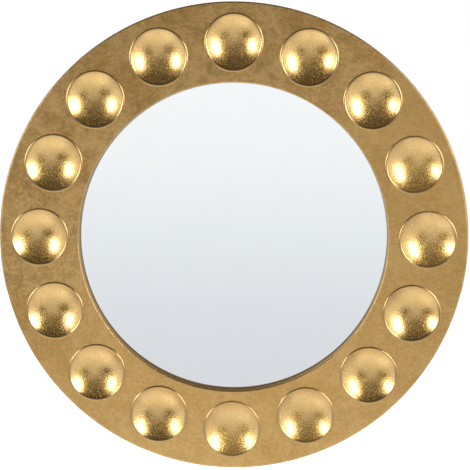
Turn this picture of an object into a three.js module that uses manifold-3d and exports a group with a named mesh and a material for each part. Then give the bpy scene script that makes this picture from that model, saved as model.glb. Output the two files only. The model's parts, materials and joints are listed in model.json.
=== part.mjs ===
// A round wall mirror. A flat gilded ring carries sixteen pressed metal bowls, open to the
// front, around a flat mirror glass. The glass lies in a pocket of the back panel, on a felt
// pad, and the ring is screwed over it from behind. Two D-rings in folded straps hang the
// mirror, and four rubber bumpers hold it parallel to the wall.
//
// Millimetres, +Z up. The front faces -Y and the wall side +Y. The origin is the centre of the
// back panel's rear face, on the axis of the ring.

import * as THREE from 'three';
import { mergeVertices } from 'three/addons/utils/BufferGeometryUtils.js';
import Module from 'manifold-3d';

const wasm = await Module();
wasm.setup();

// ---------------------------------------------------------------- driving dimensions

const seatGap = 0.3;            // air between a piece and what it is seated on or in
const cutPast = 1;              // how far a cut runs past the face that it opens

// front ring
const openingRadius = 265;      // edge of the ring around the glass
const ringWidth = 135;          // from that edge to the rim of the mirror
const ringThickness = 18;
const outerEdgeRound = 3;       // rounding of the front face's outer edge
const innerEdgeRound = 1.5;     // rounding of the front face's inner edge

// pressed bowls
const bowlCount = 16;
const bowlSetback = 66.5;       // from the ring's inner edge to the bowls' centres
const bowlRadius = 46.5;        // mouth of the bowl, inside its rim
const bowlDepth = 18;           // from the rim's crest to the bottom
const bowlWall = 1;
const bowlRimWidth = 3.5;       // from the mouth to the outside of the rim
const bowlRimHeight = 2.5;      // crest of the rim above its seat
const bowlRimRound = 2.2;       // rounding of the rim's outer edge
const bowlLipRound = 0.6;       // rounding between the crest and the bowl
const bowlHoleClearance = 0.7;  // between a bowl's back and its hole in the ring
const bowlPocketClearance = 1.2; // between a bowl's back and the back panel, pocketed if need be

// glass and its pad
const glassOverlap = 15;        // how far the glass reaches behind the ring
const glassThickness = 4;
const glassSideClearance = 1;
const padThickness = 1.5;
const padInset = 12;            // the pad's edge inside the glass's edge

// back panel
const panelInset = 15;          // the panel's edge inside the ring's outer edge
const panelFloor = 5.9;         // what is left of the panel behind its deepest pocket
const panelEdgeBreak = 1;       // chamfer of the panel's rear edge

// screws that join the panel to the ring
const panelScrewCount = 8;
const panelScrewEdgeDistance = 13;
const panelScrewRadius = 2;
const panelScrewHeadRadius = 4;
const panelScrewHeadDepth = 2.4;
const panelScrewBite = 12.5;    // length inside the ring
const screwTipLength = 3;
const screwHoleClearance = 0.35;

// hangers
const hangerGap = 2.5;          // bowl pitches from the top, so each hanger is between two bowls
const wireRadius = 1.3;
const ringLegLength = 6;        // straight part of the D-ring beside its bar
const ringInnerRadius = 10;     // inside of the D-ring's bow
const strapWidth = 12;
const strapThickness = 1;
const strapLength = 34;         // from the eye's axis to the strap's lower end
const strapScrewInset = 8.5;    // from the eye's axis to the upper screw
const strapScrewSpacing = 18;
const eyeClearance = 0.3;       // between the wire and the eye around it
const strapScrewRadius = 1.75;
const strapScrewHeadRadius = 3.2;
const strapScrewHeadHeight = 1.6;
const strapScrewHeadRound = 1;  // sloped edge of the head
const strapScrewBite = 9;       // length inside the back panel

// wall bumpers
const bumperAngles = [45, 135, 225, 315];
const bumperEdgeDistance = 20;  // from the panel's edge to a bumper's centre
const bumperRadius = 7;
const bumperTopRadius = 5.5;
const bumperHeight = 6;

// facets around each kind of round piece
const ringFacets = 64;
const bowlFacets = 20;
const wireFacets = 8;
const bowSteps = 14;
const bowlArcSteps = 4;         // steps along the bowl from its bottom to its mouth
const smallFacets = 12;

// ---------------------------------------------------------------- sizes that follow

const outerRadius = openingRadius + ringWidth;
const bowlCircleRadius = openingRadius + bowlSetback;
const bowlPitch = (2 * Math.PI) / bowlCount;
const rimOuterRadius = bowlRadius + bowlRimWidth;
const bowlSphereRadius = (bowlRadius ** 2 + bowlDepth ** 2) / (2 * bowlDepth);

const glassRadius = openingRadius + glassOverlap;
const padRadius = glassRadius - padInset;
const glassPocketRadius = glassRadius + glassSideClearance;
const glassPocketDepth = seatGap + padThickness + seatGap + glassThickness;

// depth of a bowl's back behind the panel's front face, negative where it stays in front of it
const bowlReach = bowlDepth + bowlWall - bowlRimHeight - seatGap - ringThickness - seatGap;
const bowlPocketDepth = bowlReach + bowlPocketClearance;
const panelThickness = panelFloor + Math.max(glassPocketDepth, bowlPocketDepth);
const panelRadius = outerRadius - panelInset;

// places along Y
const panelFront = -panelThickness;
const ringBack = panelFront - seatGap;
const ringFront = ringBack - ringThickness;
const rimSeat = ringFront - seatGap;
const rimCrest = rimSeat - bowlRimHeight;
const pocketFloorY = panelFront + glassPocketDepth;
const glassFront = panelFront;
const eyeRadius = wireRadius + eyeClearance;
const eyeOuterRadius = eyeRadius + strapThickness;
const eyeY = seatGap + eyeOuterRadius;

const panelScrewCircleRadius = panelRadius - panelScrewEdgeDistance;
const bumperCircleRadius = panelRadius - bumperEdgeDistance;

// ---------------------------------------------------------------- materials

const gildedRing = new THREE.MeshStandardMaterial({ color: 0xb8955a, roughness: 0.42, metalness: 1 });
const gildedBowl = new THREE.MeshStandardMaterial({ color: 0xe3b568, roughness: 0.22, metalness: 1 });
const mirrorGlass = new THREE.MeshStandardMaterial({ color: 0xe6ebee, roughness: 0.02, metalness: 1 });
const blackFelt = new THREE.MeshStandardMaterial({ color: 0x1c1c1c, roughness: 0.95, metalness: 0 });
const brownBoard = new THREE.MeshStandardMaterial({ color: 0x8a6a48, roughness: 0.8, metalness: 0 });
const zincSteel = new THREE.MeshStandardMaterial({ color: 0xb9bcc0, roughness: 0.35, metalness: 1 });
const greyRubber = new THREE.MeshStandardMaterial({ color: 0x4a4a4a, roughness: 0.9, metalness: 0 });

// ---------------------------------------------------------------- helpers

// A closed geometry as a solid for joining and cutting.
function solidOf(geometry) {
  const bare = geometry.clone();
  bare.deleteAttribute('normal');
  bare.deleteAttribute('uv');
  const welded = mergeVertices(bare, 1e-4);
  const mesh = new wasm.Mesh({
    numProp: 3,
    vertProperties: new Float32Array(welded.attributes.position.array),
    triVerts: new Uint32Array(welded.index.array),
  });
  return new wasm.Manifold(mesh);
}

// A finished solid as a geometry.
function geometryOf(solid) {
  const mesh = solid.getMesh();
  const geometry = new THREE.BufferGeometry();
  geometry.setAttribute('position', new THREE.BufferAttribute(mesh.vertProperties, 3));
  geometry.setIndex(new THREE.BufferAttribute(mesh.triVerts, 1));
  geometry.computeVertexNormals();
  return geometry;
}

// A solid turned about the Y axis from [radius, y] pairs, listed so that y falls on the outside.
function turned(profile, facets) {
  const points = profile.map(([radius, y]) => new THREE.Vector2(radius, y));
  return solidOf(new THREE.LatheGeometry(points, facets));
}

// [radius, y] pairs along an arc, from one angle to another in radians.
function arc(centreRadius, centreY, radius, from, to, steps) {
  const points = [];
  for (let step = 0; step <= steps; step += 1) {
    const angle = from + ((to - from) * step) / steps;
    points.push([centreRadius + radius * Math.cos(angle), centreY + radius * Math.sin(angle)]);
  }
  return points;
}

// A cylinder along Y between two depths, centred on (x, z).
function postAlongY(radius, fromY, toY, x, z, facets) {
  const post = new THREE.CylinderGeometry(radius, radius, toY - fromY, facets);
  post.translate(x, (fromY + toY) / 2, z);
  return solidOf(post);
}

// A point on a circle around the mirror's axis, its angle counted clockwise from the top.
function onCircle(radius, angle) {
  return { x: radius * Math.sin(angle), z: radius * Math.cos(angle) };
}

function addMesh(parent, name, solid, material, place = { x: 0, y: 0, z: 0 }) {
  const mesh = new THREE.Mesh(geometryOf(solid), material);
  mesh.name = name;
  mesh.position.set(place.x, place.y ?? 0, place.z);
  parent.add(mesh);
  return mesh;
}

// Two digits, so that the names of copies sort in order.
function numbered(stem, index) {
  return `${stem}_${String(index + 1).padStart(2, '0')}`;
}

const bowlPlaces = [];
for (let index = 0; index < bowlCount; index += 1) {
  bowlPlaces.push(onCircle(bowlCircleRadius, index * bowlPitch));
}

const panelScrewPlaces = [];
for (let index = 0; index < panelScrewCount; index += 1) {
  const gap = Math.round((index * bowlCount) / panelScrewCount) + 0.5;
  panelScrewPlaces.push(onCircle(panelScrewCircleRadius, gap * bowlPitch));
}

const hangerPlaces = {
  left: onCircle(bowlCircleRadius, -hangerGap * bowlPitch),
  right: onCircle(bowlCircleRadius, hangerGap * bowlPitch),
};
const strapScrewDrops = [strapScrewInset, strapScrewInset + strapScrewSpacing];

// ---------------------------------------------------------------- front ring

function ringFrame() {
  let ring = turned([
    [openingRadius, ringBack],
    ...arc(openingRadius + innerEdgeRound, ringFront + innerEdgeRound, innerEdgeRound,
      Math.PI, 1.5 * Math.PI, 2),
    ...arc(outerRadius - outerEdgeRound, ringFront + outerEdgeRound, outerEdgeRound,
      1.5 * Math.PI, 2 * Math.PI, 3),
    [outerRadius, ringBack],
    [openingRadius, ringBack],
  ], ringFacets);
  const holeRadius = bowlBackRadiusAt(ringFront) + bowlHoleClearance;
  for (const { x, z } of bowlPlaces) {
    ring = ring.subtract(postAlongY(holeRadius, ringFront - cutPast, ringBack + cutPast, x, z, bowlFacets));
  }
  const pilotRadius = panelScrewRadius + screwHoleClearance;
  const pilotEnd = ringBack - panelScrewBite - screwHoleClearance;
  for (const { x, z } of panelScrewPlaces) {
    ring = ring.subtract(postAlongY(pilotRadius, pilotEnd, ringBack + cutPast, x, z, smallFacets));
  }
  return ring;
}

// ---------------------------------------------------------------- pressed bowls

const bowlCentreY = rimCrest + bowlDepth - bowlSphereRadius;

// Radius of a bowl's back, which is a sphere one wall larger than its inside, at a depth y.
// It is zero behind the sphere.
function bowlBackRadiusAt(y) {
  const squared = (bowlSphereRadius + bowlWall) ** 2 - (y - bowlCentreY) ** 2;
  return Math.sqrt(Math.max(0, squared));
}

function bowl() {
  const backRadius = bowlSphereRadius + bowlWall;
  const mouthAngle = Math.asin((rimCrest + bowlLipRound - bowlCentreY) / bowlSphereRadius);
  const seatAngle = Math.asin((rimSeat - bowlCentreY) / backRadius);
  const inside = arc(0, bowlCentreY, bowlSphereRadius, Math.PI / 2, mouthAngle, bowlArcSteps);
  const back = arc(0, bowlCentreY, backRadius, seatAngle, Math.PI / 2, bowlArcSteps);
  inside[0][0] = 0;
  back[back.length - 1][0] = 0;
  return turned([
    ...inside,
    [bowlRadius + bowlLipRound, rimCrest],
    ...arc(rimOuterRadius - bowlRimRound, rimCrest + bowlRimRound, bowlRimRound,
      1.5 * Math.PI, 2 * Math.PI, 2),
    [rimOuterRadius, rimSeat],
    ...back,
  ], bowlFacets);
}

// ---------------------------------------------------------------- glass, pad and back panel

// A flat disc between two depths.
function disc(radius, fromY, toY, facets) {
  return postAlongY(radius, fromY, toY, 0, 0, facets);
}

function backPanel() {
  let panel = turned([
    [0, pocketFloorY],
    [glassPocketRadius, pocketFloorY],
    [glassPocketRadius, panelFront],
    [panelRadius, panelFront],
    [panelRadius, -panelEdgeBreak],
    [panelRadius - panelEdgeBreak, 0],
    [glassPocketRadius, 0],   // the rear face behind the glass, clear of what is screwed on
    [0, 0],
  ], ringFacets);
  if (bowlPocketDepth > 0) {
    const pocketRadius = bowlBackRadiusAt(panelFront) + bowlPocketClearance;
    const floorY = panelFront + bowlPocketDepth;
    for (const { x, z } of bowlPlaces) {
      panel = panel.subtract(postAlongY(pocketRadius, panelFront - cutPast, floorY, x, z, bowlFacets));
    }
  }
  for (const { x, z } of panelScrewPlaces) {
    panel = panel.subtract(countersunkHole().translate([x, 0, z]));
  }
  const pilotRadius = strapScrewRadius + screwHoleClearance;
  const pilotEnd = -strapScrewBite - screwHoleClearance;
  for (const { x, z } of Object.values(hangerPlaces)) {
    for (const drop of strapScrewDrops) {
      panel = panel.subtract(postAlongY(pilotRadius, pilotEnd, cutPast, x, z - drop, smallFacets));
    }
  }
  return panel;
}

// ---------------------------------------------------------------- screws

// The hole for a countersunk screw, through the whole back panel.
function countersunkHole() {
  const shank = panelScrewRadius + screwHoleClearance;
  const head = panelScrewHeadRadius + screwHoleClearance;
  return turned([
    [0, panelFront - cutPast],
    [shank, panelFront - cutPast],
    [shank, -panelScrewHeadDepth],
    [head, 0],
    [head, cutPast],
    [0, cutPast],
  ], smallFacets);
}

// A countersunk screw, its flat head just under the panel's rear face.
function panelScrew() {
  const endY = ringBack - panelScrewBite;
  return turned([
    [0, endY],
    [panelScrewRadius, endY + screwTipLength],
    [panelScrewRadius, -panelScrewHeadDepth - seatGap],
    [panelScrewHeadRadius, -seatGap],
    [0, -seatGap],
  ], smallFacets);
}

// A round-headed screw, its head seated on the strap.
function strapScrew() {
  const seatY = seatGap + strapThickness + seatGap;
  const headY = seatY + strapScrewHeadHeight;
  return turned([
    [0, -strapScrewBite],
    [strapScrewRadius, -strapScrewBite + screwTipLength],
    [strapScrewRadius, seatY],
    [strapScrewHeadRadius, seatY],
    [strapScrewHeadRadius, headY - strapScrewHeadRound],
    [strapScrewHeadRadius - strapScrewHeadRound, headY],
    [0, headY],
  ], smallFacets);
}

// ---------------------------------------------------------------- hangers

// A straight leg, a half turn and a straight leg, as the D-ring's bow runs in the XZ plane.
class BowCurve extends THREE.Curve {
  getPoint(t) {
    const radius = ringInnerRadius + wireRadius;
    const turn = Math.PI * radius;
    const along = t * (2 * ringLegLength + turn);
    if (along < ringLegLength) {
      return new THREE.Vector3(-radius, 0, along);
    }
    if (along > ringLegLength + turn) {
      return new THREE.Vector3(radius, 0, 2 * ringLegLength + turn - along);
    }
    const angle = Math.PI - (along - ringLegLength) / radius;
    return new THREE.Vector3(radius * Math.cos(angle), 0, ringLegLength + radius * Math.sin(angle));
  }
}

// The D-ring stands up from its bar, which lies along X through the origin.
function dRing() {
  const section = new THREE.Shape();
  section.absarc(0, 0, wireRadius, 0, 2 * Math.PI, false);
  const bow = new THREE.ExtrudeGeometry(section, {
    steps: bowSteps,
    curveSegments: wireFacets,
    extrudePath: new BowCurve(),
  });
  const barLength = 2 * (ringInnerRadius + 2 * wireRadius);
  const bar = new THREE.CylinderGeometry(wireRadius, wireRadius, barLength, wireFacets);
  bar.rotateZ(Math.PI / 2);
  return solidOf(bow).add(solidOf(bar));
}

// A strip folded round the D-ring's bar, its eye's axis through the origin.
function strap() {
  const plate = new THREE.BoxGeometry(strapWidth, strapThickness, strapLength);
  plate.translate(0, -eyeOuterRadius + strapThickness / 2, -strapLength / 2);
  const eye = new THREE.CylinderGeometry(eyeOuterRadius, eyeOuterRadius, strapWidth, smallFacets);
  eye.rotateZ(Math.PI / 2);
  const boreLength = strapWidth + 2 * cutPast;
  const bore = new THREE.CylinderGeometry(eyeRadius, eyeRadius, boreLength, smallFacets);
  bore.rotateZ(Math.PI / 2);
  let body = solidOf(plate).add(solidOf(eye)).subtract(solidOf(bore));
  const holeRadius = strapScrewRadius + screwHoleClearance;
  for (const drop of strapScrewDrops) {
    body = body.subtract(
      postAlongY(holeRadius, -eyeOuterRadius - cutPast, 0, 0, -drop, smallFacets));
  }
  return body;
}

// ---------------------------------------------------------------- bumpers

function bumper() {
  return turned([
    [0, seatGap],
    [bumperRadius, seatGap],
    [bumperTopRadius, seatGap + bumperHeight],
    [0, seatGap + bumperHeight],
  ], smallFacets);
}

// ---------------------------------------------------------------- assembly

const mirror = new THREE.Group();

addMesh(mirror, 'ring_frame', ringFrame(), gildedRing);
bowlPlaces.forEach((place, index) => {
  addMesh(mirror, numbered('bowl', index), bowl(), gildedBowl, place);
});

addMesh(mirror, 'mirror_glass',
  disc(glassRadius, glassFront, glassFront + glassThickness, ringFacets), mirrorGlass);
addMesh(mirror, 'glass_pad',
  disc(padRadius, pocketFloorY - seatGap - padThickness, pocketFloorY - seatGap, ringFacets), blackFelt);
addMesh(mirror, 'back_panel', backPanel(), brownBoard);

panelScrewPlaces.forEach((place, index) => {
  addMesh(mirror, numbered('panel_screw', index), panelScrew(), zincSteel, place);
});

for (const [side, { x, z }] of Object.entries(hangerPlaces)) {
  const eye = { x, y: eyeY, z };
  addMesh(mirror, `hanger_strap_${side}`, strap(), zincSteel, eye);
  addMesh(mirror, `d_ring_${side}`, dRing(), zincSteel, eye);
  strapScrewDrops.forEach((drop, index) => {
    const name = numbered(`strap_screw_${side}`, index);
    addMesh(mirror, name, strapScrew(), zincSteel, { x, z: z - drop });
  });
}

bumperAngles.forEach((degrees, index) => {
  const place = onCircle(bumperCircleRadius, THREE.MathUtils.degToRad(degrees));
  addMesh(mirror, numbered('bumper', index), bumper(), greyRubber, place);
});

export default mirror;
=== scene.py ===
"""Looks of the round gilded wall mirror: fine meshes, leaf, glass, board and steel.

Metres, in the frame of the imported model: the front faces -Y, the wall side +Y, +Z is up and
the origin is the centre of the back panel's rear face. Each piece is a finer version of the
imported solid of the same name, and takes its place and main sizes from that node's box. Only the
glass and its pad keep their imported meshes.
"""
import json
import math

import bmesh
import bpy
from mathutils import Matrix, Vector, noise


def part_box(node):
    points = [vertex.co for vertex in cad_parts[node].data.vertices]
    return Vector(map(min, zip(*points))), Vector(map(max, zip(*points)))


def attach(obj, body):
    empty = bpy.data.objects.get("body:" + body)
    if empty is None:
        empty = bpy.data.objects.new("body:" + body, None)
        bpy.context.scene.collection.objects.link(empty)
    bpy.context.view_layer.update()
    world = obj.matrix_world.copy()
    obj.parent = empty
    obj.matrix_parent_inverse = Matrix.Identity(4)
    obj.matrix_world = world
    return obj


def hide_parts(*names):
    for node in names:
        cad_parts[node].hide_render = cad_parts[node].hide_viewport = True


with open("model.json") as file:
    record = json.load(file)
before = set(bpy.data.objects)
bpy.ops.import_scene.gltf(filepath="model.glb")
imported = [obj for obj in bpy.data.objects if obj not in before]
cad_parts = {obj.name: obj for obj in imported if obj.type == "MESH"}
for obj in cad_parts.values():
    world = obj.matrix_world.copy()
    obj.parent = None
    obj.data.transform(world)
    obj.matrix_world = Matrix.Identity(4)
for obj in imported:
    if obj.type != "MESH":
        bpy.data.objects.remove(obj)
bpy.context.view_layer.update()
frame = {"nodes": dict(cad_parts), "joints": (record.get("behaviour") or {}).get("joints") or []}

MM = 0.001
BODY = "mirror"                  # the body that everything rides on, apart from the D-rings

# ---------------------------------------------------------------- sizes not in a node's box

OPENING_RADIUS = 265 * MM
OUTER_EDGE_ROUND = 3 * MM
INNER_EDGE_ROUND = 1.5 * MM
BOWL_WALL = 1 * MM
RIM_WIDTH = 3.5 * MM
RIM_HEIGHT = 2.5 * MM
RIM_ROUND = 2.2 * MM
LIP_ROUND = 0.6 * MM
HOLE_CLEARANCE = 0.7 * MM
GLASS_POCKET_DEPTH = 6.1 * MM
GLASS_POCKET_CLEARANCE = 1 * MM
PANEL_EDGE_BREAK = 1 * MM
SCREW_RADIUS = 2 * MM
SCREW_HEAD_DEPTH = 2.4 * MM
SCREW_TIP = 3 * MM
SCREW_CLEARANCE = 0.35 * MM
STRAP_THICKNESS = 1 * MM
STRAP_SCREW_RADIUS = 1.75 * MM
STRAP_SCREW_HEAD = 1.6 * MM
WIRE_RADIUS = 1.3 * MM
EYE_CLEARANCE = 0.3 * MM
BUMPER_TOP_RADIUS = 5.8 * MM
BUMPER_ROUND = 1.2 * MM
BUMPER_FOOT_BREAK = 0.3 * MM     # bevel at the foot of a bumper
CUT_PAST = 1 * MM                # how far a cutter runs past the face that it opens

RING_SEGMENTS = 288
BOWL_SEGMENTS = 96
BOWL_STEPS = 28
HOLE_SEGMENTS = 64
SMALL_SEGMENTS = 40
SHARP_ANGLE = math.radians(38)
TINY = 1e-7                      # radii below this lie on the axis

WAVE_HEIGHT = 0.07 * MM          # unevenness of a pressed bowl
WAVE_LENGTH = 17 * MM
FINE_WAVE_LENGTH = 0.45 * WAVE_LENGTH
FINE_WAVE_SHARE = 0.4            # height of the finer waves, as a share of the others
WAVE_FADE = 4 * MM               # depth below the rim's seat at which the waves are full

BOWLS = sorted(name for name in frame["nodes"] if name.startswith("bowl_"))
PANEL_SCREWS = sorted(name for name in frame["nodes"] if name.startswith("panel_screw_"))
STRAP_SCREWS = sorted(name for name in frame["nodes"] if name.startswith("strap_screw_"))
BUMPERS = sorted(name for name in frame["nodes"] if name.startswith("bumper_"))


def middle(node):
    """The middle of a node's box."""
    low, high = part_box(node)
    return (low + high) / 2


# ---------------------------------------------------------------- mesh helpers

def arc(centre_radius, centre_y, radius, start, end, steps):
    """(radius, y) points along an arc, angles in degrees from the radius axis towards +Y."""
    points = []
    for step in range(steps + 1):
        angle = math.radians(start + (end - start) * step / steps)
        points.append((centre_radius + radius * math.cos(angle), centre_y + radius * math.sin(angle)))
    return points


def add_turned(mesh, profile, segments, x=0.0, z=0.0):
    """Adds a closed body turned about the Y axis through (x, z) from (radius, y) points."""
    rings = []
    for radius, y in profile:
        if radius < TINY:
            rings.append([mesh.verts.new((x, y, z))])
            continue
        ring = []
        for step in range(segments):
            angle = 2 * math.pi * step / segments
            place = (x + radius * math.sin(angle), y, z + radius * math.cos(angle))
            ring.append(mesh.verts.new(place))
        rings.append(ring)
    pairs = list(zip(rings, rings[1:]))
    if len(rings[0]) > 1:
        pairs.append((rings[-1], rings[0]))
    for first, second in pairs:
        for step in range(segments):
            after = (step + 1) % segments
            corners = [first[step % len(first)], second[step % len(second)],
                       second[after % len(second)], first[after % len(first)]]
            mesh.faces.new(list(dict.fromkeys(corners)))


def add_box(mesh, low, high):
    """Adds a box between two corners."""
    result = bmesh.ops.create_cube(mesh, size=1.0)
    low, high = Vector(low), Vector(high)
    size = high - low
    for vert in result["verts"]:
        scaled = Vector((vert.co.x * size.x, vert.co.y * size.y, vert.co.z * size.z))
        vert.co = scaled + (low + high) / 2


def object_from(name, mesh):
    """A Blender object from a bmesh, its faces pointing out."""
    bmesh.ops.recalc_face_normals(mesh, faces=mesh.faces)
    data = bpy.data.meshes.new(name)
    mesh.to_mesh(data)
    mesh.free()
    obj = bpy.data.objects.new(name, data)
    bpy.context.scene.collection.objects.link(obj)
    return obj


def apply_modifiers(obj):
    """Turns the object's modifiers into mesh."""
    depsgraph = bpy.context.evaluated_depsgraph_get()
    result = bpy.data.meshes.new_from_object(obj.evaluated_get(depsgraph))
    obj.modifiers.clear()
    obj.data = result


def cut(obj, cutter_mesh):
    """Cuts a bmesh out of the object."""
    cutter = object_from("cutter", cutter_mesh)
    modifier = obj.modifiers.new("cut", "BOOLEAN")
    modifier.operation = "DIFFERENCE"
    modifier.solver = "EXACT"
    modifier.object = cutter
    apply_modifiers(obj)
    bpy.data.objects.remove(cutter)


def smooth(obj, angle=SHARP_ANGLE):
    """Smooth shading with sharp edges past an angle, and flat faces kept flat."""
    obj.data.shade_smooth()
    obj.data.set_sharp_from_angle(angle=angle)
    modifier = obj.modifiers.new("normals", "WEIGHTED_NORMAL")
    modifier.keep_sharp = True
    apply_modifiers(obj)


def finish(obj, node, material, body=BODY):
    """Puts the material on a piece and lets it stand for its node."""
    obj.data.materials.clear()
    obj.data.materials.append(material)
    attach(obj, body)
    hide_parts(node)
    return obj


# ---------------------------------------------------------------- materials

class Field:
    """A socket of a node tree, so that formulas can be written as Python."""

    def __init__(self, tree, socket):
        self.tree = tree
        self.socket = socket

    def math(self, operation, *others):
        """The result of a Math node on this field and the others, fields or numbers."""
        node = self.tree.nodes.new("ShaderNodeMath")
        node.operation = operation
        for place, value in enumerate((self,) + others):
            if isinstance(value, Field):
                self.tree.links.new(value.socket, node.inputs[place])
            else:
                node.inputs[place].default_value = value
        return Field(self.tree, node.outputs[0])

    def __add__(self, other):
        return self.math("ADD", other)

    def __sub__(self, other):
        return self.math("SUBTRACT", other)

    def __mul__(self, other):
        return self.math("MULTIPLY", other)

    def size(self):
        """This field without its sign."""
        return self.math("ABSOLUTE")

    def choose(self, first, second):
        """Runs from the first value to the second while this field runs from 0 to 1."""
        return first + (first * -1.0 + second) * self

    def steps(self, stops):
        """A straight run through (place, level or colour) stops, whose levels are 0 to 1."""
        low, high = stops[0][0], stops[-1][0]
        node = self.tree.nodes.new("ShaderNodeValToRGB")
        self.tree.links.new(self.ramp_linear(low, high).socket, node.inputs["Fac"])
        elements = node.color_ramp.elements
        while len(elements) < len(stops):
            elements.new(0.5)
        for element, (place, level) in zip(elements, stops):
            colour = level if isinstance(level, tuple) else (level, level, level)
            element.position = (place - low) / (high - low)
            element.color = (*colour, 1.0)
        return Field(self.tree, node.outputs["Color"])

    def ramp_linear(self, start, end):
        """Runs straight from 0 to 1 while this field runs from start to end."""
        node = self.tree.nodes.new("ShaderNodeMapRange")
        self.tree.links.new(self.socket, node.inputs["Value"])
        node.inputs["From Min"].default_value = start
        node.inputs["From Max"].default_value = end
        return Field(self.tree, node.outputs["Result"])

    def most(self, other):
        """The larger of this field and the other."""
        return self.math("MAXIMUM", other)

    def ramp(self, start, end, low=0.0, high=1.0):
        """Runs smoothly from low to high while this field runs from start to end."""
        node = self.tree.nodes.new("ShaderNodeMapRange")
        node.interpolation_type = "SMOOTHSTEP"
        self.tree.links.new(self.socket, node.inputs["Value"])
        limits = {"From Min": start, "From Max": end, "To Min": low, "To Max": high}
        for name, value in limits.items():
            if isinstance(value, Field):
                self.tree.links.new(value.socket, node.inputs[name])
            else:
                node.inputs[name].default_value = value
        return Field(self.tree, node.outputs["Result"])

    def blend(self, first, second):
        """A mix of two colours or fields by this field."""
        node = self.tree.nodes.new("ShaderNodeMix")
        node.data_type = "RGBA"
        self.tree.links.new(self.socket, node.inputs["Factor"])
        for name, value in (("A", first), ("B", second)):
            socket = [s for s in node.inputs if s.name == name and s.type == "RGBA"][0]
            if isinstance(value, Field):
                self.tree.links.new(value.socket, socket)
            else:
                socket.default_value = (*value, 1.0)
        return Field(self.tree, [s for s in node.outputs if s.type == "RGBA"][0])


class Surface:
    """One material: a principled shader, object coordinates and short names for textures."""

    def __init__(self, name):
        self.material = bpy.data.materials.new(name)
        self.material.use_nodes = True
        self.tree = self.material.node_tree
        self.shader = self.tree.nodes["Principled BSDF"]
        coordinates = self.tree.nodes.new("ShaderNodeTexCoord")
        self.place = Field(self.tree, coordinates.outputs["Object"])

    def axes(self):
        """The three coordinates in the frame."""
        node = self.tree.nodes.new("ShaderNodeSeparateXYZ")
        self.tree.links.new(self.place.socket, node.inputs[0])
        return [Field(self.tree, node.outputs[axis]) for axis in range(3)]

    def stretched(self, scale, turn=(0.0, 0.0, 0.0), place=None):
        """Scaled and turned coordinates. A scale below 1 draws a texture out along that axis."""
        node = self.tree.nodes.new("ShaderNodeMapping")
        node.inputs["Scale"].default_value = scale
        node.inputs["Rotation"].default_value = turn
        self.tree.links.new((place or self.place).socket, node.inputs["Vector"])
        return Field(self.tree, node.outputs["Vector"])

    def noise(self, size, detail=3.0, roughness=0.5, place=None, distortion=0.0):
        """Noise from 0 to 1 whose features are about as wide as size, in metres."""
        node = self.tree.nodes.new("ShaderNodeTexNoise")
        node.inputs["Scale"].default_value = 1 / size
        node.inputs["Detail"].default_value = detail
        node.inputs["Roughness"].default_value = roughness
        node.inputs["Distortion"].default_value = distortion
        self.tree.links.new((place or self.place).socket, node.inputs["Vector"])
        return Field(self.tree, node.outputs["Fac"])

    def cells(self, size, feature="F1", output="Distance"):
        """Cells about as wide as size, in metres."""
        node = self.tree.nodes.new("ShaderNodeTexVoronoi")
        node.feature = feature
        node.inputs["Scale"].default_value = 1 / size
        self.tree.links.new(self.place.socket, node.inputs["Vector"])
        return Field(self.tree, node.outputs[output])

    def set(self, name, value):
        """Sets a socket of the shader to a number or colour, or links a field to it."""
        socket = self.shader.inputs[name]
        if isinstance(value, Field):
            self.tree.links.new(value.socket, socket)
        elif isinstance(value, tuple):
            socket.default_value = (*value, 1.0)
        else:
            socket.default_value = value

    def bump(self, height, depth):
        """Bump from a field of heights, whose 0 to 1 is depth metres."""
        node = self.tree.nodes.new("ShaderNodeBump")
        node.inputs["Strength"].default_value = 1.0
        node.inputs["Distance"].default_value = depth
        self.tree.links.new(height.socket, node.inputs["Height"])
        self.tree.links.new(node.outputs["Normal"], self.shader.inputs["Normal"])


BOWL_LIGHT = (0.92, 0.565, 0.130)
BOWL_MID = (0.85, 0.515, 0.105)
# painted shade for the crests of the rims and for the specks
BOWL_SHADE = (0.50, 0.295, 0.060)
RING_LIGHT = (1.0, 0.680, 0.290)
RING_DARK = (0.67, 0.385, 0.120)
RING_WEAR_AND_SHADE = (0.53, 0.322, 0.112)     # rubbed patches with painted shade, most of them towards the upper left
RING_FRESH_AND_LIT = (0.92, 0.565, 0.195)    # the even, lighter tone of the least worn part, towards the lower right, partly painted light
RING_EDGE_SHADE = (0.36, 0.220, 0.085)     # painted shade on the outer edge, most of all at the top
RING_WALL_SHADE = (0.27, 0.160, 0.058)     # painted shade on the sides of the ring and of its opening
GRAZING_TINT = (0.78, 0.66, 0.48)    # keeps the leaf brown where it is seen at a flat angle

LEAF_SQUARE = 82 * MM            # side of one leaf of metal
LEAF_ROW_SHIFT = 0.37            # how far each row of leaves is shifted, as a share of one
RAGGED_EDGE = 4 * MM             # how far the leaves' edges wander

RING_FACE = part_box("ring_frame")[0].y
RING_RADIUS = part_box("ring_frame")[1].x
RIM_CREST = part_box(BOWLS[0])[0].y

WALL_ROUGHNESS = 0.20
EDGE_ROUGHNESS = 0.42
RIM_ROUGHNESS = 0.16
SPECK_ROUGHNESS = 0.24           # what a speck adds to the roughness around it
LACQUER_ROUGHNESS = 0.22
LACQUER_IOR = 2.25


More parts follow.
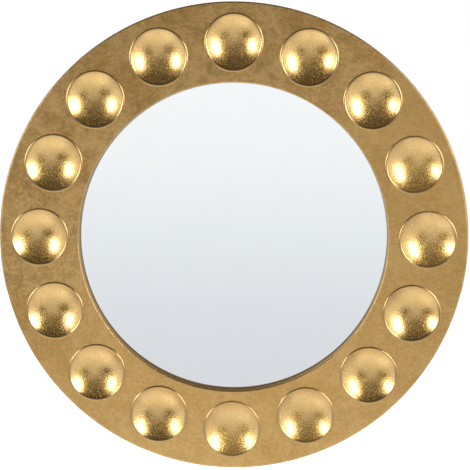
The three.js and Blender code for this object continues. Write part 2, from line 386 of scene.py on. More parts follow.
def leaf_squares(surface):
    """A tone for each square of leaf, from 0 to 1, its edges a little ragged."""
    tree = surface.tree
    ragged = surface.noise(9 * MM, detail=4)
    shifted = tree.nodes.new("ShaderNodeVectorMath")
    shifted.operation = "ADD"
    tree.links.new(surface.place.socket, shifted.inputs[0])
    tree.links.new((ragged * RAGGED_EDGE).socket, shifted.inputs[1])
    node = tree.nodes.new("ShaderNodeTexBrick")
    node.offset = LEAF_ROW_SHIFT
    node.inputs["Color1"].default_value = (0, 0, 0, 1)
    node.inputs["Color2"].default_value = (1, 1, 1, 1)
    node.inputs["Mortar Size"].default_value = 0.0
    node.inputs["Scale"].default_value = 1.0
    node.inputs["Brick Width"].default_value = LEAF_SQUARE
    node.inputs["Row Height"].default_value = LEAF_SQUARE
    # the brick pattern lies in XY, so the mirror's XZ plane is turned into it
    place = Field(tree, shifted.outputs[0])
    turned = surface.stretched((1, 1, 1), (math.radians(90), 0.0, 0.0), place)
    tree.links.new(turned.socket, node.inputs["Vector"])
    return Field(tree, node.outputs["Color"])


def ring_leaf():
    """Satin leaf on a flat board: clouds, leaf squares, rubbed patches, fine grain and wear, with
    painted shade towards the upper left, on the outer edge and on the sides, and painted light
    towards the lower right.
    """
    surface = Surface("ring_leaf")
    clouds = surface.noise(48 * MM, detail=5, roughness=0.6, distortion=0.6).ramp(0.34, 0.68)
    squares = leaf_squares(surface)
    mottle = surface.noise(4.5 * MM, detail=4, roughness=0.7, distortion=0.4).ramp(0.3, 0.72)
    strokes = surface.stretched((0.35, 1, 1), (0, 0.5, 0))
    brushed = surface.noise(5 * MM, detail=3, roughness=0.6, place=strokes)
    grain = surface.noise(1.8 * MM, detail=2, roughness=0.6)
    tone = clouds * 0.3 + squares * 0.15 + mottle * 0.45 + brushed * 0.7 + grain * 0.8
    colour = tone.ramp(0.72, 1.58).blend(RING_DARK, RING_LIGHT)

    # rubbed patches grow darker and denser towards the upper left, partly wear and partly painted
    # shade, and the lower right gets a lighter even tone, partly painted light
    across, depth, height = surface.axes()
    upper_left = (height - across * 0.7).ramp(-120 * MM, 320 * MM)
    patches = surface.noise(30 * MM, detail=8, roughness=0.74).ramp(0.46, 0.66)
    colour = (patches * upper_left.ramp(0.0, 1.0, 0.10, 0.80)).blend(colour, RING_WEAR_AND_SHADE)
    colour = upper_left.ramp(0.0, 0.7, 0.42, 0.0).blend(colour, RING_FRESH_AND_LIT)

    # painted shade darkens the outer edge, most of all at the top
    from_axis = (across.math("POWER", 2.0) + height.math("POWER", 2.0)).math("SQRT")
    edge = from_axis.ramp(RING_RADIUS - 3.2 * MM, RING_RADIUS - 1.2 * MM)
    colour = (edge * height.ramp(-320 * MM, 150 * MM)).blend(colour, RING_EDGE_SHADE)

    # the sides behind the face are painted darker, as painted shade, and the opening's wall is
    # smoother too
    wall = depth.ramp(RING_FACE + 0.2 * MM, RING_FACE + 1.4 * MM)
    colour = (wall * 0.75).blend(colour, RING_WALL_SHADE)
    satin = wall.ramp(0.0, 1.0, tone.ramp(0.6, 1.7, 0.35, 0.32), WALL_ROUGHNESS)

    surface.set("Base Color", colour)
    surface.set("Metallic", 1.0)
    surface.set("Specular Tint", GRAZING_TINT)
    surface.set("Roughness", edge.ramp(0.0, 1.0, satin, EDGE_ROUGHNESS))
    surface.bump(grain * 0.6 + mottle * 0.8, 0.05 * MM)
    return surface.material


def bowl_leaf(name, roughness, crinkling, metal=1.0):
    """Lacquered leaf on pressed metal: finely crinkled with small specks painted a little darker, and
    a smooth rim painted darker as painted shade.

    The crinkling is the height of the bump in metres.
    """
    surface = Surface(name)
    clouds = surface.noise(24 * MM, detail=4, roughness=0.6).ramp(0.34, 0.7)
    crinkle = surface.noise(2.8 * MM, detail=2, roughness=0.55, distortion=0.5)
    folds = surface.cells(5 * MM, "DISTANCE_TO_EDGE").ramp(0.0, 0.12)
    specks = surface.noise(2.2 * MM, detail=1, roughness=0.5).ramp(0.55, 0.63)
    colour = clouds.blend(BOWL_MID, BOWL_LIGHT)
    # the specks are painted a little darker, as painted shade of their tilted crinkles
    colour = (specks * 0.10).blend(colour, BOWL_SHADE)
    hollow = clouds.ramp(0.0, 1.0, roughness + 0.02, roughness) + specks * SPECK_ROUGHNESS

    # 0 on the crest of the rim, 1 in the hollow
    inside = surface.axes()[1].ramp(RIM_CREST + 0.7 * MM, RIM_CREST + 3.5 * MM)
    # the crest of the rim is painted darker, as painted shade
    surface.set("Base Color", inside.ramp(0.0, 1.0, 0.6, 0.0).blend(colour, BOWL_SHADE))
    surface.set("Metallic", metal)
    surface.set("Roughness", inside.ramp(0.0, 1.0, RIM_ROUGHNESS, hollow))
    surface.set("Coat Weight", 1.0)
    surface.set("Coat Roughness", LACQUER_ROUGHNESS)
    surface.set("Coat IOR", LACQUER_IOR)
    surface.bump((crinkle + folds * 0.12) * inside, crinkling)
    return surface.material


def mirror_silver():
    """Silvered glass: perfectly sharp, with the faintest clouds in its silver."""
    surface = Surface("mirror_silver")
    clouds = surface.noise(60 * MM, detail=5, roughness=0.6)
    colour = clouds.ramp(0.3, 0.7).blend((0.912, 0.932, 0.942), (0.922, 0.942, 0.952))
    surface.set("Base Color", colour)
    surface.set("Metallic", 1.0)
    surface.set("Roughness", 0.0)
    return surface.material


def raw_board():
    """Raw fibreboard: short pressed fibres lying two ways, dark flecks, clouds and pale marks."""
    surface = Surface("raw_board")
    upright = surface.stretched((1, 1, 0.35), (0, 0.5, 0))
    level = surface.stretched((0.35, 1, 1), (0, 0.3, 0))
    fibres = surface.noise(2.2 * MM, detail=4, roughness=0.7, place=upright)
    crossing = surface.noise(2.2 * MM, detail=4, roughness=0.7, place=level)
    flecks = surface.noise(4.5 * MM, detail=3, roughness=0.6, distortion=1.0).ramp(0.60, 0.70)
    clouds = surface.noise(90 * MM, detail=6, roughness=0.6).ramp(0.35, 0.65)
    marks = surface.noise(38 * MM, detail=7, roughness=0.75).ramp(0.56, 0.72)
    tone = fibres * 0.5 + crossing * 0.5 + clouds * 0.25
    colour = tone.ramp(0.35, 0.85).blend((0.205, 0.120, 0.062), (0.385, 0.255, 0.150))
    colour = (flecks * 0.55).blend(colour, (0.150, 0.085, 0.045))
    surface.set("Base Color", (marks * 0.35).blend(colour, (0.45, 0.33, 0.22)))
    surface.set("Roughness", tone.ramp(0.3, 0.9, 0.85, 0.66))
    surface.bump(fibres + crossing + flecks * -0.4, 0.10 * MM)
    return surface.material


def pressed_felt():
    """Black pressed felt with fine matted fibres."""
    surface = Surface("pressed_felt")
    matted = surface.noise(0.9 * MM, detail=5, roughness=0.75, distortion=1.2)
    colour = matted.ramp(0.3, 0.75).blend((0.006, 0.006, 0.007), (0.03, 0.03, 0.032))
    surface.set("Base Color", colour)
    surface.set("Roughness", 0.95)
    surface.set("Sheen Weight", 0.25)
    surface.bump(matted, 0.25 * MM)
    return surface.material


def zinc_steel():
    """Zinc plate: crystalline clouds, rolled streaks and small stains."""
    surface = Surface("zinc_steel")
    spangle = surface.cells(1.8 * MM, output="Color")
    rolled = surface.stretched((1, 1, 0.12))
    streaks = surface.noise(0.8 * MM, detail=3, roughness=0.6, place=rolled)
    stains = surface.noise(5 * MM, detail=4, roughness=0.65).ramp(0.55, 0.75)
    tone = spangle * 0.3 + streaks * 0.7
    colour = tone.ramp(0.2, 0.8).blend((0.52, 0.53, 0.55), (0.68, 0.69, 0.70))
    surface.set("Base Color", (stains * 0.4).blend(colour, (0.42, 0.41, 0.40)))
    surface.set("Metallic", 1.0)
    surface.set("Roughness", tone.ramp(0.1, 0.9, 0.42, 0.26))
    surface.bump(streaks, 0.02 * MM)
    return surface.material


def grey_rubber():
    """Matt grey rubber with a moulded grain and a pale bloom."""
    surface = Surface("grey_rubber")
    grain = surface.noise(0.5 * MM, detail=3, roughness=0.6)
    bloom = surface.noise(6 * MM, detail=4, roughness=0.6).ramp(0.45, 0.75)
    colour = (bloom * 0.6).blend((0.05, 0.05, 0.052), (0.085, 0.085, 0.085))
    surface.set("Base Color", colour)
    surface.set("Roughness", grain.ramp(0.2, 0.8, 0.78, 0.62))
    surface.bump(grain, 0.03 * MM)
    return surface.material


# ---------------------------------------------------------------- front ring

def ring_profile():
    """(radius, y) points of the ring's section, its front edges rounded."""
    low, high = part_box("ring_frame")
    front, back, outer = low.y, high.y, high.x
    inner_round = arc(OPENING_RADIUS + INNER_EDGE_ROUND, front + INNER_EDGE_ROUND,
                      INNER_EDGE_ROUND, 180, 270, 8)
    outer_round = arc(outer - OUTER_EDGE_ROUND, front + OUTER_EDGE_ROUND,
                      OUTER_EDGE_ROUND, 270, 360, 12)
    return [(OPENING_RADIUS, back), *inner_round, *outer_round, (outer, back)]


def bowl_sphere():
    """Centre depth and radius of a bowl's inside, from its box."""
    low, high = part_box(BOWLS[0])
    depth = high.y - BOWL_WALL - low.y
    mouth = (high.x - low.x) / 2 - RIM_WIDTH
    radius = (mouth ** 2 + depth ** 2) / (2 * depth)
    return low.y + depth - radius, radius


def bowl_back_radius(y):
    """Radius of a bowl's back at a depth y."""
    centre_y, radius = bowl_sphere()
    return math.sqrt((radius + BOWL_WALL) ** 2 - (y - centre_y) ** 2)


def pilot_hole(screw_node, radius, face):
    """(radius, y) points of a screw's pilot hole, from its tip to past the rear face."""
    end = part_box(screw_node)[0].y - SCREW_CLEARANCE
    return [(0, end), (radius, end), (radius, face + CUT_PAST), (0, face + CUT_PAST)]


def make_ring(material):
    """The flat ring, with a hole for each bowl and a pilot hole for each panel screw."""
    mesh = bmesh.new()
    add_turned(mesh, ring_profile(), RING_SEGMENTS)
    ring = object_from("gilded_ring", mesh)
    low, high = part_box("ring_frame")
    holes = bmesh.new()
    hole_radius = bowl_back_radius(low.y) + HOLE_CLEARANCE
    through = [(0, low.y - CUT_PAST), (hole_radius, low.y - CUT_PAST),
               (hole_radius, high.y + CUT_PAST), (0, high.y + CUT_PAST)]
    for node in BOWLS:
        place = middle(node)
        add_turned(holes, through, HOLE_SEGMENTS, place.x, place.z)
    pilot = SCREW_RADIUS + SCREW_CLEARANCE
    for node in PANEL_SCREWS:
        place = middle(node)
        add_turned(holes, pilot_hole(node, pilot, high.y), SMALL_SEGMENTS, place.x, place.z)
    cut(ring, holes)
    smooth(ring)
    return finish(ring, "ring_frame", material)


# ---------------------------------------------------------------- bowls

def bowl_profile():
    """(radius, y) points of a bowl's section: inside, lip, rolled rim, seat and back."""
    low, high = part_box(BOWLS[0])
    crest = low.y
    seat = crest + RIM_HEIGHT
    outer = (high.x - low.x) / 2
    mouth = outer - RIM_WIDTH
    centre_y, radius = bowl_sphere()
    back = radius + BOWL_WALL
    mouth_angle = math.degrees(math.asin((crest + LIP_ROUND - centre_y) / radius))
    seat_angle = math.degrees(math.asin((seat - centre_y) / back))
    inside = arc(0, centre_y, radius, 90, mouth_angle, BOWL_STEPS)
    outside = arc(0, centre_y, back, seat_angle, 90, BOWL_STEPS // 2)
    lip = arc(mouth + LIP_ROUND, crest + LIP_ROUND, LIP_ROUND, 180, 270, 4)
    inside[0] = (0.0, inside[0][1])
    outside[-1] = (0.0, outside[-1][1])
    return [
        *inside,
        *lip[1:],
        *arc(outer - RIM_ROUND, crest + RIM_ROUND, RIM_ROUND, 270, 360, 8),
        (outer, seat),
        *outside,
    ]


def make_bowl(node, material):
    """A pressed bowl, slightly uneven below its rim."""
    place = middle(node)
    mesh = bmesh.new()
    add_turned(mesh, bowl_profile(), BOWL_SEGMENTS, place.x, place.z)
    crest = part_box(node)[0].y
    sphere_centre = Vector((place.x, bowl_sphere()[0], place.z))
    for vert in mesh.verts:
        depth = vert.co.y - crest - RIM_HEIGHT
        if depth <= 0:
            continue
        fade = min(1.0, depth / WAVE_FADE)
        shift = noise.noise(vert.co / WAVE_LENGTH)
        shift += FINE_WAVE_SHARE * noise.noise(vert.co / FINE_WAVE_LENGTH)
        vert.co += (vert.co - sphere_centre).normalized() * (shift * fade * WAVE_HEIGHT)
    bowl = object_from("gilded_" + node, mesh)
    smooth(bowl)
    return finish(bowl, node, material)


# ---------------------------------------------------------------- back panel

def make_back_panel(material):
    """The back panel with its glass pocket, countersunk screw holes and pilot holes."""
    low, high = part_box("back_panel")
    radius = high.x
    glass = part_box("mirror_glass")[1].x + GLASS_POCKET_CLEARANCE
    floor = low.y + GLASS_POCKET_DEPTH
    mesh = bmesh.new()
    add_turned(mesh, [
        (0, floor), (glass, floor), (glass, low.y), (radius, low.y),
        (radius, high.y - PANEL_EDGE_BREAK), (radius - PANEL_EDGE_BREAK, high.y), (0, high.y),
    ], RING_SEGMENTS)
    panel = object_from("fibre_back_panel", mesh)
    cutters = bmesh.new()
    shank = SCREW_RADIUS + SCREW_CLEARANCE
    for node in PANEL_SCREWS:
        place = middle(node)
        head = (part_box(node)[1].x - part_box(node)[0].x) / 2 + SCREW_CLEARANCE
        countersunk = [(0, low.y - CUT_PAST), (shank, low.y - CUT_PAST),
                       (shank, high.y - SCREW_HEAD_DEPTH), (head, high.y),
                       (head, high.y + CUT_PAST), (0, high.y + CUT_PAST)]
        add_turned(cutters, countersunk, SMALL_SEGMENTS, place.x, place.z)
    pilot = STRAP_SCREW_RADIUS + SCREW_CLEARANCE
    for node in STRAP_SCREWS:
        place = middle(node)
        add_turned(cutters, pilot_hole(node, pilot, high.y), SMALL_SEGMENTS, place.x, place.z)
    cut(panel, cutters)
    smooth(panel)
    return finish(panel, "back_panel", material)


# ---------------------------------------------------------------- screws

RECESS_WIDTH = 0.9 * MM          # slot of the cross recess
RECESS_REACH = 0.62              # share of the head's radius
RECESS_DEPTH = 1.2 * MM
RECESS_TAPER = 0.45              # size of the recess at its bottom, as a share of its top
HEAD_RIM = 0.1 * MM              # height of the straight rim of a countersunk head
HEAD_INSET = 0.15 * MM           # how far that rim stays inside the countersink, and its bevel
DOME_ROUND = 1 * MM              # rounding of a strap screw's head


def cut_cross(screw, place, top, head_radius):
    """Cuts a cross recess into a screw's head."""
    reach = head_radius * RECESS_REACH
    half = RECESS_WIDTH / 2
    for size_x, size_z in ((reach, half), (half, reach)):
        slot = bmesh.new()
        add_box(slot, (place.x - size_x, top - RECESS_DEPTH, place.z - size_z),
                (place.x + size_x, top + CUT_PAST, place.z + size_z))
        for vert in slot.verts:
            if vert.co.y < top:
                vert.co.x = place.x + (vert.co.x - place.x) * RECESS_TAPER
                vert.co.z = place.z + (vert.co.z - place.z) * RECESS_TAPER
        cut(screw, slot)


def make_panel_screw(node, material):
    """A countersunk screw, its point to the front and its head flush with the panel."""
    low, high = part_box(node)
    place = middle(node)
    head = (high.x - low.x) / 2
    neck = high.y - SCREW_HEAD_DEPTH
    mesh = bmesh.new()
    add_turned(mesh, [
        (0, low.y),
        (SCREW_RADIUS, low.y + SCREW_TIP),
        (SCREW_RADIUS, neck),
        (head - HEAD_INSET, high.y - 2 * HEAD_RIM),
        (head - HEAD_INSET, high.y - HEAD_RIM),
        (head - 2 * HEAD_INSET, high.y),
        (0, high.y),
    ], SMALL_SEGMENTS, place.x, place.z)
    screw = object_from("zinc_" + node, mesh)
    cut_cross(screw, place, high.y, head)
    smooth(screw)
    return finish(screw, node, material)


def make_strap_screw(node, material):
    """A round-headed screw that holds a strap on the panel."""
    low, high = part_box(node)
    place = middle(node)
    head = (high.x - low.x) / 2
    seat = high.y - STRAP_SCREW_HEAD
    mesh = bmesh.new()
    add_turned(mesh, [
        (0, low.y),
        (STRAP_SCREW_RADIUS, low.y + SCREW_TIP),
        (STRAP_SCREW_RADIUS, seat),
        (head, seat),
        *arc(head - DOME_ROUND, high.y - DOME_ROUND, DOME_ROUND, 0, 90, 6),
        (0, high.y),
    ], SMALL_SEGMENTS, place.x, place.z)
    screw = object_from("zinc_" + node, mesh)
    cut_cross(screw, place, high.y, head)
    smooth(screw)
    return finish(screw, node, material)


# ---------------------------------------------------------------- hangers

STRAP_CORNER = 3 * MM            # rounding of the strap's lower corners
STRAP_CORNER_STEPS = 7
STRAP_EDGE_BREAK = 0.18 * MM
EYE_STEPS = 36
EYE_TURN = 318                   # degrees that the strap turns round the wire


def hanger_axis(side):
    """The axis of a D-ring's bar."""
    joint = [j for j in frame["joints"] if j["name"] == f"d_ring_{side}_hinge"][0]
    return Vector(joint["pos_m"])


def strap_path(axis, bottom):
    """(y, z, half width) along the middle of the strap, from its lower end round the eye."""
    low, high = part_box("hanger_strap_left")
    half = (high.x - low.x) / 2
    eye = WIRE_RADIUS + EYE_CLEARANCE + STRAP_THICKNESS / 2
    path = []
    for step in range(STRAP_CORNER_STEPS + 1):
        angle = math.radians(90 * step / STRAP_CORNER_STEPS)
        rise = STRAP_CORNER * (1 - math.cos(angle))
        path.append((axis.y - eye, bottom + rise, half - STRAP_CORNER * (1 - math.sin(angle))))
    for step in range(EYE_STEPS + 1):
        angle = math.radians(-90 + EYE_TURN * step / EYE_STEPS)
        path.append((axis.y + eye * math.sin(angle), axis.z + eye * math.cos(angle), half))
    return path


def make_strap(side, material):
    """A strap of sheet steel, folded round the bar of its D-ring, with two screw holes."""
    node = f"hanger_strap_{side}"
    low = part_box(node)[0]
    axis = hanger_axis(side)
    path = strap_path(axis, low.z)
    mesh = bmesh.new()
    rows = []
    for index, (y, z, half) in enumerate(path):
        before = path[max(0, index - 1)]
        after = path[min(len(path) - 1, index + 1)]
        along = Vector((0, after[0] - before[0], after[1] - before[1])).normalized()
        across = along.cross(Vector((1, 0, 0))) * (STRAP_THICKNESS / 2)
        centre = Vector((axis.x, y, z))
        side_step = Vector((half, 0, 0))
        corners = (-side_step - across, side_step - across, side_step + across, -side_step + across)
        rows.append([mesh.verts.new(centre + offset) for offset in corners])
    for first, second in zip(rows, rows[1:]):
        for corner in range(4):
            after = (corner + 1) % 4
            mesh.faces.new((first[corner], first[after], second[after], second[corner]))
    mesh.faces.new(rows[0])
    mesh.faces.new(reversed(rows[-1]))
    strap = object_from("zinc_" + node, mesh)
    holes = bmesh.new()
    hole = STRAP_SCREW_RADIUS + SCREW_CLEARANCE
    for screw in STRAP_SCREWS:
        if side in screw:
            place = middle(screw)
            start, end = low.y - CUT_PAST, low.y + 2 * STRAP_THICKNESS
            through = [(0, start), (hole, start), (hole, end), (0, end)]
            add_turned(holes, through, SMALL_SEGMENTS, place.x, place.z)
    cut(strap, holes)
    bevel = strap.modifiers.new("bevel", "BEVEL")
    bevel.width = STRAP_EDGE_BREAK
    bevel.segments = 2
    bevel.limit_method = "ANGLE"
    apply_modifiers(strap)
    smooth(strap)
    return finish(strap, node, material)


RING_CORNER = 2.2 * MM           # bend between a D-ring's bar and its legs
RING_CORNER_STEPS = 8
BOW_STEPS = 40
WIRE_SIDES = 24


def d_ring_path(side):
    """(x, z) points along the middle of the wire as a closed loop, and the y they lie at."""
    low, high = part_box(f"d_ring_{side}")
    axis = hanger_axis(side)
    reach = (high.x - low.x) / 2 - WIRE_RADIUS
    bow_centre = high.z - WIRE_RADIUS - reach
    points = []
    for turn, centre_x in ((180, -reach + RING_CORNER), (270, reach - RING_CORNER)):
        for step in range(RING_CORNER_STEPS + 1):
            angle = math.radians(turn + 90 * step / RING_CORNER_STEPS)
            points.append((axis.x + centre_x + RING_CORNER * math.cos(angle),
                           axis.z + RING_CORNER + RING_CORNER * math.sin(angle)))
    for step in range(BOW_STEPS + 1):
        angle = math.radians(180 * step / BOW_STEPS)
        points.append((axis.x + reach * math.cos(angle), bow_centre + reach * math.sin(angle)))
    return points, axis.y


def make_d_ring(side, material):
    """A D-ring of round wire, which rides on its own body."""
    points, y = d_ring_path(side)
    mesh = bmesh.new()
    count = len(points)
    rings = []
    for index, (x, z) in enumerate(points):
        before = points[index - 1]
        after = points[(index + 1) % count]
        along = Vector((after[0] - before[0], 0, after[1] - before[1])).normalized()
        outward = along.cross(Vector((0, 1, 0)))
        ring = []
        for step in range(WIRE_SIDES):
            angle = 2 * math.pi * step / WIRE_SIDES
            offset = outward * math.cos(angle) + Vector((0, 1, 0)) * math.sin(angle)
            ring.append(mesh.verts.new(Vector((x, y, z)) + offset * WIRE_RADIUS))
        rings.append(ring)
    for index in range(count):
        first, second = rings[index], rings[(index + 1) % count]
        for step in range(WIRE_SIDES):
            after = (step + 1) % WIRE_SIDES
            mesh.faces.new((first[step], first[after], second[after], second[step]))
    ring = object_from(f"zinc_d_ring_{side}", mesh)
    smooth(ring)
    return finish(ring, f"d_ring_{side}", material, f"ring_{side}")


# ---------------------------------------------------------------- bumpers

def make_bumper(node, material):
    """A low round rubber foot that keeps the panel off the wall."""
    low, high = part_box(node)
    place = middle(node)
    base = (high.x - low.x) / 2
    mesh = bmesh.new()
    top = arc(BUMPER_TOP_RADIUS - BUMPER_ROUND, high.y - BUMPER_ROUND, BUMPER_ROUND, 10, 90, 8)
    add_turned(mesh, [
        (0, low.y),
        (base - BUMPER_FOOT_BREAK, low.y),
        (base, low.y + BUMPER_FOOT_BREAK),
        *top,
        (0, high.y),
    ], SMALL_SEGMENTS, place.x, place.z)
    bumper = object_from("rubber_" + node, mesh)
    smooth(bumper)
    return finish(bumper, node, material)


# ---------------------------------------------------------------- camera

CAMERA_PLACE = Vector((0.0636, -2.2303, 0.2216))
CAMERA_AIM = Vector((0.0034, -0.0303, 0.0062))
CAMERA_ROLL = math.radians(-0.289)
SENSOR_WIDTH = 36.0
FOCAL_LENGTH = 99.3


def make_camera():
    """The camera at the photograph's place, a little above the mirror's middle."""
    data = bpy.data.cameras.new("camera")
    data.sensor_width = SENSOR_WIDTH
    data.lens = FOCAL_LENGTH
    camera = bpy.data.objects.new("camera", data)
    bpy.context.scene.collection.objects.link(camera)
    forward = (CAMERA_AIM - CAMERA_PLACE).normalized()
    right = forward.cross(Vector((0, 0, 1))).normalized()
    up = right.cross(forward)
    up = up * math.cos(CAMERA_ROLL) + right * math.sin(CAMERA_ROLL)
    right = forward.cross(up)
    turn = Matrix((right, up, -forward)).transposed()
    camera.matrix_world = Matrix.Translation(CAMERA_PLACE) @ turn.to_4x4()
    bpy.context.scene.camera = camera


# ---------------------------------------------------------------- studio

STUDIO_RADIUS = 4.0              # the room, seen only in the metal and the glass
FLOOR_LEVEL = -1.35              # the mirror hangs at about eye level
FLOOR_RADIUS = 9.0
FLOOR_GREY = (0.8, 0.8, 0.8)
FLOOR_SEEN_LEVEL = 0.86          # what the floor emits for the camera
WORLD_LIGHT = 0.62               # level at which the world lights the object

# soft lamps: name, place, power in watts and width
LAMPS = (("lamp_front", (-1.6, -2.3, 2.0), 34.0, 1.6), ("lamp_back", (1.7, 2.3, 2.0), 34.0, 1.6))

# levels of the room by degrees up from straight ahead, in its middle and at its sides
MIDDLE_LEVELS = ((-90, 0.80), (-62, 0.95), (-48, 0.90), (-36, 0.75), (-26, 0.68), (-12, 0.60),
                 (-2, 0.50), (7, 0.38), (15, 0.26), (30, 0.18), (45, 0.13), (60, 0.09), (75, 0.08))
SIDE_LEVELS = ((-90, 0.50), (-60, 0.58), (-45, 0.68), (-30, 0.76), (-15, 0.84), (0, 0.86),
               (15, 0.84), (30, 0.70), (45, 0.36), (60, 0.12), (75, 0.10))
TOP_LEVEL = 1.5                  # the highest level that the two lists can hold
SIDES_BEGIN = (-40.0, 28.0)      # degrees across at which the middle ends, left and right
SIDES_FULL = (-66.0, 52.0)       # degrees across at which the side levels are reached
REAR_LEVEL = 0.8                 # the room behind the mirror
REAR_BEGINS = 100.0              # degrees from straight ahead
REAR_FULL = 125.0
SHADE_COLOUR = (1.0, 0.88, 0.72)     # the darkest parts of the room are a little warm

# a pale patch on the floor: degrees across and up, half width and half height, and what it adds
FLOOR_PATCH = (-36.0, -52.0, 34.0, 24.0, 0.26)

# soft lights: degrees across and up, half width and half height, lean and strength
SOFTBOXES = ((-53.0, 17.5, 11.5, 18.0, 0.02, 7.4), (49.0, 21.5, 12.5, 23.0, 0.16, 7.4))

# dark stands: degrees across and up, half width and half height, and how much they take away
STANDS = ((-35.0, -15.0, 25.0, 18.0, 0.66), (26.0, -12.0, 18.0, 19.0, 0.60),
          (-18.0, 9.0, 24.0, 18.0, 0.12))
SOFTBOX_SQUARENESS = 4.0         # power of the oval: 2 is an ellipse, and more is squarer

# colours of the pale backdrop that the glass shows, by height in metres, dark above its upper edge
GLASS_TONES = ((-1.12, (0.733, 0.742, 0.768)), (-0.75, (0.775, 0.788, 0.812)),
               (-0.38, (0.862, 0.880, 0.896)), (0.0, (0.955, 0.962, 0.962)),
               (0.36, (0.999, 1.0, 1.0)), (0.44, (0.38, 0.36, 0.33)),
               (0.56, (0.17, 0.155, 0.135)), (1.2, (0.11, 0.10, 0.085)))


def only_in_reflections(obj):
    """Leaves the object visible to glossy rays alone."""
    obj.visible_camera = False
    obj.visible_diffuse = False
    obj.visible_transmission = False
    obj.visible_volume_scatter = False
    obj.visible_shadow = False


def glowing(name):
    """A material that only emits, its tree and its emission node."""
    material = bpy.data.materials.new(name)
    material.use_nodes = True
    tree = material.node_tree
    tree.nodes.clear()
    emission = tree.nodes.new("ShaderNodeEmission")
    output = tree.nodes.new("ShaderNodeOutputMaterial")
    tree.links.new(emission.outputs[0], output.inputs["Surface"])
    coordinates = tree.nodes.new("ShaderNodeTexCoord")
    split = tree.nodes.new("ShaderNodeSeparateXYZ")
    tree.links.new(coordinates.outputs["Object"], split.inputs[0])
    axes = [Field(tree, split.outputs[axis]) for axis in range(3)]
    return material, tree, emission, axes


def oval(across, up, centre_across, centre_up, half_width, half_height, lean=0.0, power=2.0):
    """Distance from the centre of an oval, 1 at its edge."""
    beside = across - centre_across + (up - centre_up) * lean
    wide = (beside * (1 / half_width)).size().math("POWER", power)
    high = ((up - centre_up) * (1 / half_height)).size().math("POWER", power)
    return (wide + high).math("POWER", 1 / power)


def room_material():
    """The studio as the metal shows it, in degrees across and up from straight ahead."""
    material, tree, emission, (x, y, z) = glowing("room_glow")
    flat = (x.math("POWER", 2.0) + z.math("POWER", 2.0)).math("SQRT")
    turned = flat.math("ARCTAN2", y * -1.0) * math.degrees(1)
    across = turned * x.math("DIVIDE", flat)
    up = turned * z.math("DIVIDE", flat)

    # walls: the levels of the middle give way to those of the sides
    middle_level = up.steps([(place, level / TOP_LEVEL) for place, level in MIDDLE_LEVELS])
    side_level = up.steps([(place, level / TOP_LEVEL) for place, level in SIDE_LEVELS])
    to_left = across.ramp(SIDES_BEGIN[0], SIDES_FULL[0])
    to_right = across.ramp(SIDES_BEGIN[1], SIDES_FULL[1])
    level = (middle_level + (side_level - middle_level) * (to_left + to_right)) * TOP_LEVEL

    # what stands in the room, the plain part behind the mirror, and the soft lights
    *patch, added = FLOOR_PATCH
    level = level + oval(across, up, *patch).ramp(1.0, 0.0, 0.0, added)
    for *stand, depth in STANDS:
        level = level - oval(across, up, *stand).ramp(1.0, 0.1, 0.0, depth)
    level = level + (level * -1.0 + REAR_LEVEL) * turned.ramp(REAR_BEGINS, REAR_FULL)
    for *softbox, strength in SOFTBOXES:
        edge = oval(across, up, *softbox, SOFTBOX_SQUARENESS)
        level = level + edge.ramp(1.25, 0.25, 0.0, strength)
    warmth = level.ramp(0.05, 0.6).blend(SHADE_COLOUR, (1.0, 1.0, 1.0))

    # a perfectly sharp ray comes from the glass, which shows a pale backdrop instead of the room
    rays = tree.nodes.new("ShaderNodeLightPath")
    sharp = Field(tree, rays.outputs["Is Singular Ray"])
    tree.links.new(sharp.blend(warmth, z.steps(GLASS_TONES)).socket, emission.inputs["Color"])
    tree.links.new(sharp.choose(level, 1.0).socket, emission.inputs["Strength"])
    material.cycles.emission_sampling = "NONE"
    return material


def make_room():
    """A large sphere around everything, seen only in the metal and the glass."""
    mesh = bmesh.new()
    bmesh.ops.create_uvsphere(mesh, u_segments=96, v_segments=48, radius=STUDIO_RADIUS)
    room = object_from("studio_room", mesh)
    room.data.materials.append(room_material())
    room.data.shade_smooth()
    only_in_reflections(room)


def make_floor():
    """A pale floor that glows for the camera alone, so that it looks white but takes shadows."""
    mesh = bmesh.new()
    bmesh.ops.create_circle(mesh, cap_ends=True, radius=FLOOR_RADIUS, segments=96)
    for vert in mesh.verts:
        vert.co.z = FLOOR_LEVEL
    floor = object_from("studio_floor", mesh)
    material, tree, emission, _ = glowing("pale_floor")
    rays = tree.nodes.new("ShaderNodeLightPath")
    seen = Field(tree, rays.outputs["Is Camera Ray"])
    seen = seen.most(Field(tree, rays.outputs["Is Transmission Ray"]))
    tree.links.new((seen * FLOOR_SEEN_LEVEL).socket, emission.inputs["Strength"])
    diffuse = tree.nodes.new("ShaderNodeBsdfDiffuse")
    diffuse.inputs["Color"].default_value = (*FLOOR_GREY, 1.0)
    joined = tree.nodes.new("ShaderNodeAddShader")
    tree.links.new(emission.outputs[0], joined.inputs[0])
    tree.links.new(diffuse.outputs[0], joined.inputs[1])
    output = [node for node in tree.nodes if node.type == "OUTPUT_MATERIAL"][0]
    tree.links.new(joined.outputs[0], output.inputs["Surface"])
    material.cycles.emission_sampling = "NONE"
    floor.data.materials.append(material)
    floor.visible_glossy = False


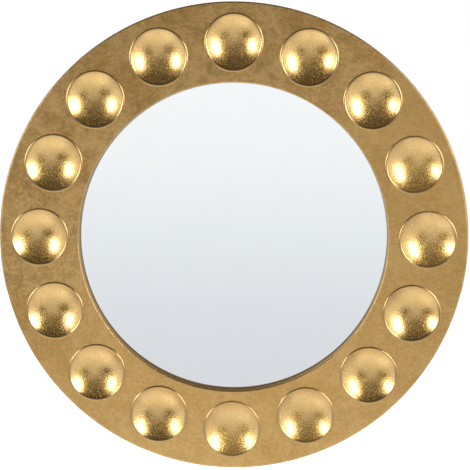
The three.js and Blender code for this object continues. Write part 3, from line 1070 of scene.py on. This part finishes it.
def make_world():
    """White where it is seen or mirrored, and a plain level where it lights the object."""
    world = bpy.data.worlds.new("studio")
    bpy.context.scene.world = world
    world.use_nodes = True
    tree = world.node_tree
    background = tree.nodes["Background"]
    background.inputs["Color"].default_value = (1, 1, 1, 1)
    rays = tree.nodes.new("ShaderNodeLightPath")
    seen = Field(tree, rays.outputs["Is Camera Ray"])
    for name in ("Is Glossy Ray", "Is Transmission Ray"):
        seen = seen.most(Field(tree, rays.outputs[name]))
    tree.links.new(seen.ramp(0.0, 1.0, WORLD_LIGHT, 1.0).socket, background.inputs["Strength"])
    world.cycles.sampling_method = "NONE"


def make_lamp(name, place, power, size):
    """A soft lamp that lights without showing in the metal."""
    data = bpy.data.lights.new(name, "AREA")
    data.energy = power
    data.size = size
    lamp = bpy.data.objects.new(name, data)
    lamp.location = place
    lamp.rotation_euler = (-Vector(place)).to_track_quat("-Z", "Y").to_euler()
    lamp.visible_glossy = False
    bpy.context.scene.collection.objects.link(lamp)


def make_studio():
    """World, floor, room and lamps."""
    make_world()
    make_floor()
    make_room()
    for lamp in LAMPS:
        make_lamp(*lamp)
    bpy.context.scene.view_settings.view_transform = "Standard"


# ---------------------------------------------------------------- the mirror

make_camera()
make_studio()

make_ring(ring_leaf())
glossy_leaf = bowl_leaf("bowl_leaf_glossy", 0.21, 0.28 * MM)
satin_leaf = bowl_leaf("bowl_leaf_satin", 0.245, 0.36 * MM, 0.88)
crinkled_leaf = bowl_leaf("bowl_leaf_crinkled", 0.245, 0.55 * MM, 0.78)
# the photograph shows these four duller than the others
dull_bowls = {"bowl_04": satin_leaf, "bowl_05": satin_leaf, "bowl_08": satin_leaf,
              "bowl_09": crinkled_leaf}
for bowl_node in BOWLS:
    make_bowl(bowl_node, dull_bowls.get(bowl_node, glossy_leaf))

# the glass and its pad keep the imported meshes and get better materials
for kept_node, kept_material in (("mirror_glass", mirror_silver()), ("glass_pad", pressed_felt())):
    kept = frame["nodes"][kept_node]
    kept.data.materials.clear()
    kept.data.materials.append(kept_material)

make_back_panel(raw_board())
steel = zinc_steel()
for screw_node in PANEL_SCREWS:
    make_panel_screw(screw_node, steel)
for screw_node in STRAP_SCREWS:
    make_strap_screw(screw_node, steel)
for hanger_side in ("left", "right"):
    make_strap(hanger_side, steel)
    make_d_ring(hanger_side, steel)
rubber = grey_rubber()
for bumper_node in BUMPERS:
    make_bumper(bumper_node, rubber)
